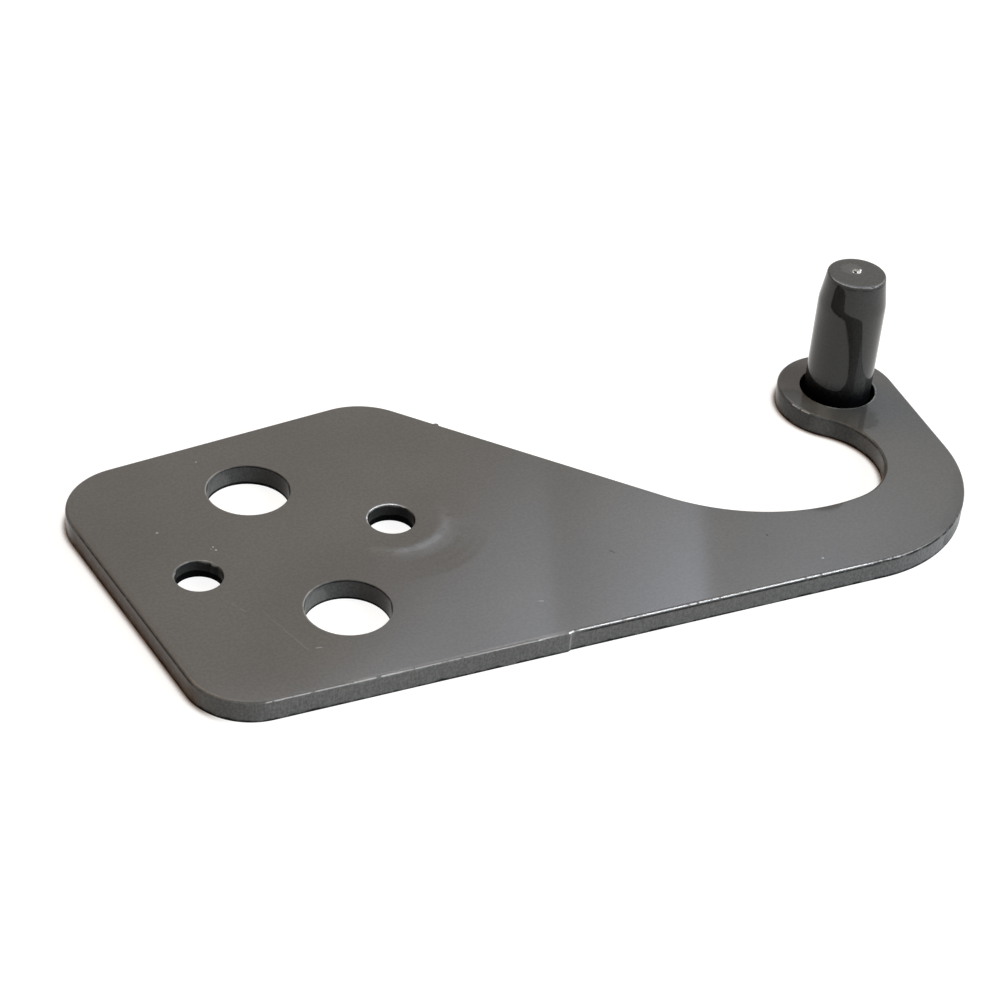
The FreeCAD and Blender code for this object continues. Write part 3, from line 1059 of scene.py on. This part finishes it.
@dataclass
class HingePin:
    """The turned pin: pressed foot, straight shank, blended lead-in and a centre mark in its top."""

    reach: float
    radius: float
    top: float
    foot_radius: float
    foot_height: float = 1.2
    lead_height: float = 4.3
    top_radius: float = 4.0
    blend_radius: float = 9.0
    rim_radius: float = 0.25
    mark_radius: float = 0.5
    mark_depth: float = 0.35
    mark_shift: float = 0.45
    mark_heading: float = 60.0
    mark_reach: float = 0.55
    foot_edge: float = 10.0
    wall_edge: float = 1.2
    top_edge: float = 0.8
    mark_edge: float = 0.3
    blend_steps: int = 8
    rim_steps: int = 6
    turns: int = 128
    smooth_under: float = 30.0
    piece: bpy.types.Object = field(init=False)

    def at(self, across: float, height: float) -> Vector:
        """Return the point of the half section at a radius and a height."""
        return Vector((self.reach + across, 0, height))

    def turn_section(self, centre: Vector, first: Vector, last: Vector, steps: int) -> None:
        """Grow the half section along an arc that runs upwards and inwards.

        Args:
            centre: Centre of the arc.
            first: Where it starts.
            last: Where it ends.
            steps: Number of edges.
        """
        angle = (first - centre).angle(last - centre)
        bpy.ops.mesh.spin(steps=steps, angle=-angle, center=centre * MM, axis=(0, -1, 0))

    def build(self, material: bpy.types.Material) -> None:
        """Draw the half section, turn it into the pin and dress it.

        Args:
            material: The pin's finish.
        """
        lead_foot = self.top - self.lead_height
        taper = math.atan2(self.radius - self.top_radius, self.lead_height)
        blend_reach = self.blend_radius * math.tan(taper / 2)
        leaning = Vector((-math.sin(taper), 0, math.cos(taper)))
        shank_top = self.at(self.radius, lead_foot - blend_reach)
        lead_start = self.at(self.radius, lead_foot) + leaning * blend_reach
        blend_centre = shank_top - Vector((self.blend_radius, 0, 0))
        rim_reach = self.rim_radius * math.tan((math.pi / 2 - taper) / 2)
        rim_start = self.at(self.top_radius, self.top) - leaning * rim_reach
        rim_end = self.at(self.top_radius - rim_reach, self.top)
        rim_centre = rim_end - UP * self.rim_radius
        mark_edge, mark_foot = self.at(self.mark_radius, self.top), self.at(0, self.top - self.mark_depth)

        points = [self.at(0, 0), self.at(self.foot_radius, 0), self.at(self.foot_radius, self.foot_height),
                  self.at(self.radius, self.foot_height)]
        self.piece = start_wire("hinge_pin_painted", points[0])
        for here, following in zip(points, points[1:]):
            draw_line(here, following, self.foot_edge)
        draw_line(points[-1], shank_top, self.wall_edge)
        self.turn_section(blend_centre, shank_top, lead_start, self.blend_steps)
        draw_line(lead_start, rim_start, self.wall_edge)
        self.turn_section(rim_centre, rim_start, rim_end, self.rim_steps)
        draw_line(rim_end, mark_edge, self.top_edge)
        draw_line(mark_edge, mark_foot, self.mark_edge)
        bpy.ops.mesh.select_all(action="SELECT")
        bpy.ops.mesh.spin(steps=self.turns, angle=2 * math.pi, center=self.at(0, 0) * MM, axis=UP)
        merge_doubles()
        face_outwards()
        self.shift_mark()
        finish_piece(self.piece, material, self.smooth_under, "hinge_pin")

    def shift_mark(self) -> None:
        """Move the centre mark to where it was struck, a little off the middle."""
        middle = self.at(0, self.top)
        choose(self.piece, "VERT", lambda vert: (vert.co / MM - middle).length < self.mark_reach)
        bpy.ops.transform.translate(value=heading(self.mark_heading) * (self.mark_shift * MM))


# The marks on the two pieces: wear, and painted highlights and painted shade


@dataclass
class PlateMarks:
    """The marks on the plate, placed from its sizes: wear and specks, and painted highlights and painted
    shade.
    """

    plate: HingePlate
    edge_inset: float = 0.12
    roll_drop: float = 0.13
    wall_drop: float = 0.2
    wall_height: float = 0.9
    wall_inset: float = 0.1

    def __post_init__(self) -> None:
        """Find the arcs and heights that the marks are placed by."""
        plate = self.plate
        arcs = [stretch for stretch in plate.outline()[1] if isinstance(stretch, Arc)]
        self.hook = max((arc for arc in arcs if arc.turn is Turn.LEFT), key=lambda arc: arc.radius)
        self.throat = min((arc for arc in arcs if arc.turn is Turn.RIGHT), key=lambda arc: arc.radius)
        self.around_eye = [arc for arc in arcs if abs(arc.centre.x - plate.pin_reach) < SAME_PLACE][0]
        self.front = heading(-plate.front_slope)
        self.hook_place = self.hook.first.dot(self.front)
        self.top = plate.thickness
        centres = [(centre.x, centre.y, self.top) for centre, _ in plate.holes()]
        self.screw_back, self.screw_front, self.small_right, self.small_left, self.eye = centres

    def on_front(self, place: float, inset: float | None = None, height: float | None = None) -> Point:
        """Return the point of the front edge at a distance along it.

        Args:
            place: The distance from the fixing pattern's centre.
            inset: How far inside the edge it lies, if not on the roll.
            height: Its height, if not on the roll.

        Returns:
            The point.
        """
        inset = self.edge_inset if inset is None else inset
        height = self.top - self.roll_drop if height is None else height
        step = self.plate.step_depth if place > self.plate.step_place else 0.0
        point = left_of(self.front) * (step + inset - self.plate.front_offset) + self.front * place
        return point.x, point.y, height

    def light(self) -> Marks:
        """List the pale marks: chips and scratches, a pale stripe down the wall at the step, and painted
        highlights on the front edge's roll, the hole rims, the eye's rim, the dent's flank and the lit side
        of the wide holes' walls.

        Returns:
            The marks.
        """
        plate, top = self.plate, self.top
        marks = [Spot((x, y, top), radius, strength) for x, y, radius, strength in (
            (-9.45, 4.52, 0.16, 0.9), (-9.39, 3.80, 0.20, 1.0), (-9.9, 4.2, 0.12, 0.5),
            (-3.34, 21.96, 0.16, 0.7), (-14.47, 10.17, 0.20, 0.7), (59.3, -31.25, 0.20, 0.9),
        )]
        for x, y, to_x, to_y, width, strength in (
            (21.49, -22.67, 22.28, -23.05, 0.13, 0.8), (-12.47, -6.55, -11.62, -8.92, 0.12, 0.20),
            (-9.71, -9.42, -9.13, -13.58, 0.12, 0.11), (-9.13, -13.58, -8.15, -18.92, 0.12, 0.20),
            (-7.24, -18.74, -6.30, -18.99, 0.13, 0.80),
        ):
            marks.append(Stroke((x, y, top), (to_x, to_y, top), width, strength))
        step = plate.step_place + 0.25
        step_top = top - self.wall_drop
        marks.append(Stroke(self.on_front(step, -0.1, -1.0), self.on_front(step, -0.1, step_top), 0.30, 0.65))
        # Painted highlight along the front edge's rolled edge
        marks.append(Stroke(self.on_front(-4.0, 0.2), self.on_front(25.5, 0.2), 0.38, 0.45, whole=0.6))
        # Painted highlights on the hole rims, on the side that faces the light
        for centre, radius, towards, strength in (
            (self.small_right, plate.small_hole, 100.0, 1.0), (self.small_left, plate.small_hole, 100.0, 0.8),
            (self.screw_back, plate.screw_hole, 165.0, 0.8), (self.screw_front, plate.screw_hole, 165.0, 0.9),
        ):
            marks.append(Rim(centre, radius + 0.1, 0.15, towards, strength, whole=0.4))
        # Painted light on the lit side of the wide holes' walls
        for centre in (self.screw_back, self.screw_front):
            marks.append(Spot(self.on_bore(centre, 108.0), 2.0, 0.30, ragged=0.3))
        # Painted highlight along the front rim of the pin's hole
        marks.append(Rim(self.eye, plate.pin_hole + 0.18, 0.15, -85.0, 0.7))
        # Painted highlight on the dent's flank, over the dent that the mesh has
        marks.append(Rim(self.small_right, 7.0, 1.2, plate.dent_heading, 0.16))
        return tuple(marks)

    def on_bore(self, centre: Point, degrees: float) -> Point:
        """Return the point low on a wide hole's wall at an angle."""
        away = heading(degrees) * self.plate.screw_hole
        return centre[0] + away.x, centre[1] + away.y, self.wall_height

    def dark(self) -> Marks:
        """List the dark marks: a speck and a scratch, and painted shade: a contact shadow at the foot of the
        walls, the pin's shadow on the eye, dark lines under the rolled edges, shade on the hook's wall and
        shade in the holes.

        Returns:
            The marks.
        """
        plate, top, hook, throat = self.plate, self.top, self.hook, self.throat
        left = 0.05 - plate.flange_left
        wall_top = top - self.wall_drop
        under_roll = top - plate.rolled_edge * 1.1
        foot = (plate.pin_reach / 2, 0.0, 0.0)
        marks = [
            Spot((55.64, -24.06, top), 0.18, 0.6),
            # Painted shadow of the pin on the eye, in front of it and to its left
            Spot((plate.pin_reach - 2.5, -7.0, top), 3.9, 0.28),
            Spot((plate.pin_reach - 8.6, -0.6, top), 4.6, 0.26, ragged=0.2),
            Stroke((35.32, -17.79, top), (35.67, -18.66, top), 0.12, 0.8),
            # Painted shade: dark lines under the rolled edges of the left wall, the front edge, the hook and
            # the throat
            Stroke((left, -19.5, wall_top), (left, 15.0, wall_top), 0.20, 0.75, whole=0.5),
            Stroke(self.on_front(26.2, 0.0, under_roll), self.on_front(self.hook_place, 0.0, under_roll),
                   0.20, 0.95, whole=0.6),
            Rim((hook.centre.x, hook.centre.y, top - 0.28), hook.radius - 0.03, 0.24, -60.0, 0.95),
            Rim((throat.centre.x, throat.centre.y, top - 0.3), throat.radius, 0.22, -25.0, 0.7, whole=0.4),
            # Painted contact shadow along the foot of all the walls
            Bore(foot, 200.0, 0.30, 0.85),
        ]
        # Painted shade on the hook's wall
        for first, last, strength in ((-68.0, -44.0, 0.45), (-54.0, -28.0, 0.50)):
            ends = (hook.inside(angle, self.wall_inset, 1.0) for angle in (first, last))
            marks.append(Stroke(*ends, 2.4, strength, whole=0.8))
        # Painted shade: a dark line under the wide holes' upper rims and a darker patch on their walls
        for centre in (self.screw_back, self.screw_front):
            marks.append(Rim((centre[0], centre[1], wall_top), plate.screw_hole, 0.24, 45.0, 1.0, whole=0.85))
            marks.append(Spot(self.on_bore(centre, 4.0), 2.2, 0.20, ragged=0.3))
        # Painted shade inside the holes and round the pin, darker below a ragged border that follows the zone
        # the punch broke out
        for centre, radius, whole, low_zone, low, ragged in (
            (self.small_right, plate.small_hole, 0.85, -1.5, 1.0, 1.0),
            (self.small_left, plate.small_hole, 0.80, -1.4, 1.0, 1.0),
            (self.screw_back, plate.screw_hole, 0.46, -2.5, 0.95, 0.25),
            (self.screw_front, plate.screw_hole, 0.36, -2.6, 0.95, 0.25),
            (self.eye, plate.pin_hole, 0.95, -1.0, 0.98, 1.0),
        ):
            marks.append(Bore(centre, radius + 0.02, -0.15, whole))
            marks.append(Bore(centre, radius + 0.09, low_zone, low, ragged=ragged))
        return tuple(marks)

    def bare(self) -> Marks:
        """List the bare steel along the front edge, the hook, the eye and one hole's rim.

        Returns:
            The marks.
        """
        roll = self.top - self.roll_drop
        marks = [Stroke(self.on_front(first), self.on_front(last), width, strength)
                 for first, last, width, strength in (
                     (26.0, 50.0, 0.12, 1.0), (48.0, self.hook_place + 0.6, 0.13, 1.0),
                     (21.0, 25.5, 0.13, 0.7), (25.2, 26.0, 0.22, 1.0),
                     (-14.5, 4.0, 0.13, 0.55), (-2.0, 22.0, 0.12, 0.40))]
        for arc, first, last, inset, width, strength in (
            (self.hook, -97.0, -91.0, 0.12, 0.13, 0.9), (self.hook, -91.0, -84.0, 0.12, 0.13, 0.5),
            (self.hook, -84.0, -76.0, 0.12, 0.13, 0.3), (self.hook, -76.0, -66.0, 0.12, 0.13, 0.25),
            (self.around_eye, 184.0, 195.0, 0.1, 0.15, 0.7), (self.around_eye, 196.0, 206.0, 0.1, 0.15, 0.8),
        ):
            ends = (arc.inside(angle, inset, roll) for angle in (first, last))
            marks.append(Stroke(*ends, width, strength))
        marks.append(Rim(self.small_right, self.plate.small_hole + 0.1, 0.12, 100.0, 0.7))
        return tuple(marks)

    def warm_shades(self) -> Marks:
        """List the painted warm shade and reflection on the left wall.

        Returns:
            The marks.
        """
        left = -self.plate.flange_left
        return tuple(Stroke((left, -20.0, height), (left, 17.0, height), width, strength, whole=0.8)
                     for height, width, strength in ((0.6, 2.4, 0.95), (1.5, 1.9, 0.85)))

    def paint(self) -> GlossPaint:
        """Return the plate's finish with its marks."""
        return GlossPaint(
            "plate_gloss_paint", top_height=self.top, far_shade_tone=(0.92, 0.95, 0.985, 1.0),
            light_marks=self.light(), dark_marks=self.dark(), bare_marks=self.bare(), warm_shades=self.warm_shades(),
        )


def pin_paint(pin: HingePin) -> GlossPaint:
    """Describe the pin's finish, with painted highlights and painted shade on its top and foot.

    Args:
        pin: The pin, for its sizes.

    Returns:
        The paint with its marks.
    """
    struck = heading(pin.mark_heading) * pin.mark_shift

    def by_mark(right: float, back: float, down: float = 0.0) -> Point:
        """Return the point on the pin's top at an offset from the centre mark."""
        return pin.reach + struck.x + right, struck.y + back, pin.top - down

    return GlossPaint(
        "pin_gloss_paint", top_height=pin.top, top_colour=(0.064, 0.062, 0.056, 1.0),
        wall_colour=(0.041, 0.041, 0.042, 1.0), coat=0.92, wall_grain=0.0, turned=0.6,
        top_fleck=(0.75, 0.76, 0.73, 1.0), wall_fleck=(0.80, 0.80, 0.80, 1.0),
        light_marks=(
            # Painted highlight along the top's near rim
            Rim((pin.reach, 0.0, pin.top), pin.top_radius - 0.12, 0.14, -110.0, 0.6),
            Spot(by_mark(-0.1, 0.9), 1.7, 0.10),
            Spot(by_mark(0.0, 0.4), 1.0, 0.16),
            # Painted glint on the centre mark
            Spot(by_mark(0.0, 0.0), pin.mark_radius + 0.2, 1.0),
        ),
        dark_marks=(
            # Painted shade under the top's near rim
            Rim((pin.reach, 0.0, pin.top - 0.42), pin.top_radius, 0.16, -110.0, 0.8),
            # Painted shade in one side of the centre mark
            Spot(by_mark(-0.12, 0.12, 0.1), 0.34, 0.9),
            # Painted shade and dark reflection over the pin's foot, where it stands in the dark ring
            Spot((pin.reach, 0.0, 0.6), 7.9, 1.0, ragged=0.15),
        ),
        bare_marks=(
            Spot(by_mark(0.15, -0.25), 0.42, 1.0),
            Spot(by_mark(0.75, 0.1), 0.20, 0.9),
            Spot(by_mark(-0.42, 0.05), 0.22, 0.8),
        ),
    )


# The studio


@dataclass(frozen=True)
class SoftLamp:
    """A rectangular lamp that faces the hinge. Angles are degrees, lengths are metres."""

    name: str
    azimuth: float
    elevation: float
    distance: float
    width: float
    height: float
    radiance: float
    colour: Point = (1.0, 1.0, 1.0)
    roll: float = 0.0

    def build(self, target: Vector) -> bpy.types.Object:
        """Hang the lamp.

        Args:
            target: The point that it faces, in metres.

        Returns:
            The lamp.
        """
        light = bpy.data.lights.new(self.name, "AREA")
        light.shape = "RECTANGLE"
        light.size, light.size_y = self.width, self.height
        light.energy = self.radiance * math.pi * self.width * self.height
        light.color = self.colour
        lamp = bpy.data.objects.new(self.name, light)
        tilt = math.radians(self.elevation)
        towards = heading(self.azimuth) * math.cos(tilt) + UP * math.sin(tilt)
        lamp.rotation_mode = "QUATERNION"
        facing = (-towards).to_track_quat("-Z", "Y")
        lamp.rotation_quaternion = facing @ Matrix.Rotation(math.radians(self.roll), 3, "Z").to_quaternion()
        lamp.location = target + towards * self.distance
        bpy.context.scene.collection.objects.link(lamp)
        return lamp


@dataclass(frozen=True)
class Pane:
    """An upright bright stripe of the window: its sides in metres from the middle, and its brightness."""

    left: float
    right: float
    first: float
    last: float
    left_blur: float = 0.003
    right_blur: float = 0.003
    lean: float = 0.0

    def light(self, sheet: NodeSheet, across: Socket, above: Socket) -> Socket:
        """Build the stripe's brightness.

        Args:
            sheet: The lamp's nodes.
            across: Distance to the right of the window's middle.
            above: Distance above the window's middle.

        Returns:
            The brightness at each point of the window.
        """
        leaning = sheet.plus(across, sheet.times(above, self.lean))
        begun = sheet.ramp(leaning, self.left - self.left_blur, self.left + self.left_blur)
        ended = sheet.ramp(across, self.right + self.right_blur, self.right - self.right_blur)
        share = sheet.math("DIVIDE", sheet.minus(across, self.left), self.right - self.left)
        level = sheet.plus(sheet.times(share, self.last - self.first), self.first)
        return sheet.times(begun, ended, sheet.most(level, 0.0))


@dataclass(frozen=True)
class WindowLamp(SoftLamp):
    """A window with panes and a frame between them, under a bright sky, which the gloss paint mirrors."""

    panes: tuple[Pane, ...] = ()
    rise: float = 10.0
    sky_foot: float = 0.07
    sky_top: float = 0.17
    sky: float = 8.0

    def build(self, target: Vector) -> bpy.types.Object:
        """Hang the window and paint its panes with light.

        Args:
            target: The point that it faces, in metres.

        Returns:
            The lamp.
        """
        lamp = super().build(target)
        lamp.data.color = WHITE[:3]
        sheet = clear_sheet(lamp.data)
        place = sheet.add("ShaderNodeTexCoord").outputs["UV"]
        across = sheet.times(sheet.minus(0.5, sheet.part(place, "X")), self.width)
        above = sheet.times(sheet.minus(sheet.part(place, "Y"), 0.5), self.height)
        light = sheet.times(sheet.ramp(above, self.sky_foot, self.sky_top), self.sky)
        rise = sheet.most(sheet.plus(sheet.times(above, self.rise), 1.0), 0.0)
        for pane in self.panes:
            light = sheet.plus(light, sheet.times(pane.light(sheet, across, above), rise))
        glow = sheet.out("ShaderNodeEmission", {"Color": (*self.colour, 1.0), "Strength": light})
        sheet.add("ShaderNodeOutputLight", {"Surface": glow})
        return lamp


@dataclass(frozen=True)
class Ground:
    """The white ground, in metres: an object's shadow near the hinge, plain white further out."""

    radius: float = 3.0
    points: int = 96
    white_from: float = 0.12
    white_to: float = 0.35
    contact: float = 1.2 * MM
    contact_low: float = 0.48
    contact_high: float = 0.92
    contact_samples: int = 8
    front_from: float = -0.018
    front_to: float = -0.024
    holes_from: float = 0.0208
    holes_to: float = 0.0198
    fringe: Colour = (0.12, 0.07, 0.045, 1.0)
    pale: Point = (0.30, 0.29, 0.28)
    bounce: Colour = (0.72, 0.68, 0.63, 1.0)
    glow: float = 0.92

    def fringed(self, sheet: NodeSheet, place: Socket) -> Socket:
        """Build the colour with the thin brown contact shadow, left out in front and in the screw holes.

        Args:
            sheet: The material's nodes.
            place: The place on the ground.

        Returns:
            The colour.
        """
        inputs = {"Distance": self.contact}
        contact = sheet.add("ShaderNodeAmbientOcclusion", inputs, samples=self.contact_samples)
        clear = sheet.ramp(contact.outputs["AO"], self.contact_low, self.contact_high)
        front = sheet.ramp(sheet.part(place, "Y"), self.front_from, self.front_to)
        holes = sheet.ramp(sheet.measure("LENGTH", place), self.holes_from, self.holes_to)
        return sheet.blend(sheet.most(clear, front, holes), self.fringe, WHITE)

    def build(self, target: Vector) -> None:
        """Lay the ground.

        Args:
            target: The middle of the hinge, in metres.
        """
        bpy.ops.object.select_all(action="DESELECT")
        bpy.ops.mesh.primitive_circle_add(vertices=self.points, radius=self.radius, fill_type="NGON",
                                          location=ORIGIN)
        floor = bpy.context.object
        floor.name = "floor"
        material = bpy.data.materials.new("white_floor")
        sheet = clear_sheet(material)
        place = sheet.add("ShaderNodeTexCoord").outputs["Object"]
        far = sheet.ramp(sheet.measure("DISTANCE", place, target), self.white_from, self.white_to)
        colour = self.fringed(sheet, place)
        shaded = sheet.vector("MULTIPLY", colour, self.pale)
        pale = sheet.out("ShaderNodeBsdfDiffuse", {"Color": shaded})
        dull = sheet.out("ShaderNodeBsdfDiffuse", {"Color": self.bounce})
        glow = sheet.out("ShaderNodeEmission", {"Color": colour, "Strength": self.glow})
        white = sheet.out("ShaderNodeEmission", {"Color": WHITE, "Strength": 1.0})
        near = sheet.out("ShaderNodeAddShader", {0: pale, 1: glow})
        seen = sheet.out("ShaderNodeMixShader", {0: far, 1: near, 2: white})
        mixed = sheet.out("ShaderNodeMixShader", {0: white_rays(sheet), 1: dull, 2: seen})
        sheet.add("ShaderNodeOutputMaterial", {"Surface": mixed})
        floor.data.materials.append(material)


def white_rays(sheet: NodeSheet) -> Socket:
    """Return 1 for the rays that see the plain white ground."""
    path = sheet.add("ShaderNodeLightPath")
    return sheet.most(*(path.outputs[kind.value] for kind in Rays))


@dataclass
class Studio:
    """White ground, soft lamps, a dim world and the camera at the photograph's place."""

    target: Vector = field(default_factory=lambda: Vector((30.0, -5.0, 0.0)) * MM)
    eye: Vector = field(default_factory=lambda: Vector((-128.04, -233.31, 204.36)) * MM)
    yaw: float = 55.927
    pitch: float = 35.804
    roll: float = 5.005
    focal_pixels: float = 2651.0
    centre_pixel: tuple[float, float] = (498.4, 498.2)
    picture: float = 1000.0
    sensor: float = 36.0
    nearest: float = 0.01
    world_colour: Colour = (1.0, 0.97, 0.93, 1.0)
    world_strength: float = 0.05
    ground: Ground = Ground()
    lamps: tuple[SoftLamp, ...] = (
        WindowLamp("window", 52.0, 37.0, 1.5, 0.9, 0.36, 1.0, (0.95, 1.09, 1.32), roll=11.5, panes=(
            Pane(-0.13, 0.33, 1.10, 0.46, left_blur=0.045, right_blur=0.07, lean=0.8),
            Pane(-0.11, -0.046, 0.0, 0.9, left_blur=0.01),
            Pane(-0.034, 0.0608, 0.0, 2.0),
            Pane(0.10, 0.19, 0.65, 0.65, left_blur=0.035, right_blur=0.05),
        )),
        SoftLamp("front_right", -48.0, 34.0, 1.2, 0.9, 0.45, 9.1, (0.98, 1.04, 1.03)),
        SoftLamp("above", 56.0, 58.0, 1.2, 0.4, 0.4, 2.2, (0.85, 0.95, 1.2)),
        SoftLamp("room", 105.0, 62.0, 1.2, 0.6, 0.6, 2.2, (1.5, 1.0, 0.45)),
    )

    def build_world(self) -> None:
        """Make the world: white to look at, dim and warm as a light."""
        world = bpy.data.worlds.new("studio")
        bpy.context.scene.world = world
        sheet = clear_sheet(world)
        inputs = {"Color": self.world_colour, "Strength": self.world_strength}
        dim = sheet.out("ShaderNodeBackground", inputs)
        white = sheet.out("ShaderNodeBackground", {"Color": WHITE, "Strength": 1.0})
        mixed = sheet.out("ShaderNodeMixShader", {0: white_rays(sheet), 1: dim, 2: white})
        sheet.add("ShaderNodeOutputWorld", {"Surface": mixed})

    def build_camera(self) -> None:
        """Place the camera as the photograph was taken."""
        lens = bpy.data.cameras.new("camera")
        lens.sensor_width = self.sensor
        lens.lens = self.focal_pixels / self.picture * self.sensor
        lens.shift_x = 0.5 - self.centre_pixel[0] / self.picture
        lens.shift_y = self.centre_pixel[1] / self.picture - 0.5
        lens.clip_start = self.nearest
        camera = bpy.data.objects.new("camera", lens)
        tilt, lean = math.radians(self.pitch), math.radians(self.roll)
        ahead = heading(self.yaw) * math.cos(tilt) - UP * math.sin(tilt)
        right = -left_of(heading(self.yaw))
        above = right.cross(ahead)
        side = right * math.cos(lean) + above * math.sin(lean)
        top = above * math.cos(lean) - right * math.sin(lean)
        camera.matrix_world = Matrix.Translation(self.eye) @ Matrix((side, top, -ahead)).transposed().to_4x4()
        bpy.context.scene.collection.objects.link(camera)
        bpy.context.scene.camera = camera

    def build(self) -> None:
        """Set up the world, the ground, the lamps and the camera."""
        bpy.context.scene.view_settings.view_transform = "Standard"
        self.build_world()
        self.ground.build(self.target)
        for lamp in self.lamps:
            lamp.build(self.target)
        self.build_camera()


def mount(name: str) -> dict:
    """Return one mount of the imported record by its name."""
    return [item for item in frame["record"]["mounts"] if item["name"] == name][0]


def main() -> None:
    """Build the hinge and the studio, and report each piece."""
    logging.basicConfig(level=logging.INFO, format="%(name)s: %(message)s")
    effects = {
        build.__name__: build()
        for build in (orange_peel, sheared_wall, paint_specks, stroke, spot, rim_line, bore_wall)
    }
    plate_low, plate_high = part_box("hinge_plate")
    pin_low, pin_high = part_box("hinge_pin")
    screws, small, door_pin = mount("fixing_screws"), mount("small_screws"), mount("door_pin")
    pin_reach = door_pin["pos_m"][0] / MM
    plate = HingePlate(
        thickness=plate_high.z / MM, flange_left=-plate_low.x / MM, flange_back=plate_high.y / MM,
        pin_reach=pin_reach,
        screw_pitch=screws["dims"]["spacing_y_mm"], screw_hole=screws["dims"]["hole_r_mm"],
        small_pitch=small["dims"]["spacing_x_mm"], small_hole=small["dims"]["hole_r_mm"],
    )
    pin = HingePin(
        reach=pin_reach, radius=door_pin["dims"]["r_mm"], top=pin_high.z / MM,
        foot_radius=(pin_high.x - pin_low.x) / 2 / MM,
    )
    for part, paint in ((plate, PlateMarks(plate).paint()), (pin, pin_paint(pin))):
        part.build(paint.build(effects))
        LOG.info("%s: %d faces", part.piece.name, len(part.piece.data.polygons))
    Studio().build()


if __name__ == "__main__":
    main()
